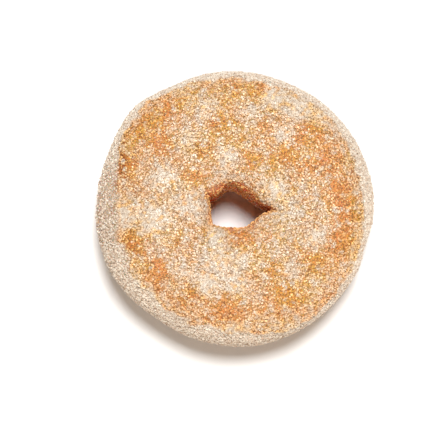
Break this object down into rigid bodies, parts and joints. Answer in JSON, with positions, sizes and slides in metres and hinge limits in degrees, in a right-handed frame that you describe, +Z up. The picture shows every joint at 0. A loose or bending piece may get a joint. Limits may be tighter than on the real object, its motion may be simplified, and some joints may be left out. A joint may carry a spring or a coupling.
{
  "type": "sugared ring doughnut",
  "caption": "Ring doughnut of fried yeast dough rolled in sugar, with browned faces, a pale belt round its side and an uneven hole through the middle.",
  "frame": {"origin": "on the surface that the doughnut rests on, under the middle of its bounding box", "axes": "+Z up through the hole; +Y and +X are the up and right of the reference view"},
  "size_m": [0.09, 0.0888, 0.0319],
  "materials": {
    "crust": "golden brown fried crust on both faces, pale cream belt round the side, matte, dusted with sugar",
    "sugar": "granulated sugar, small clear to cream crystals with glinting faces"
  },
  "bodies": {
    "root": {"ring_of_dough": "crust"}
  },
  "joints": []
}
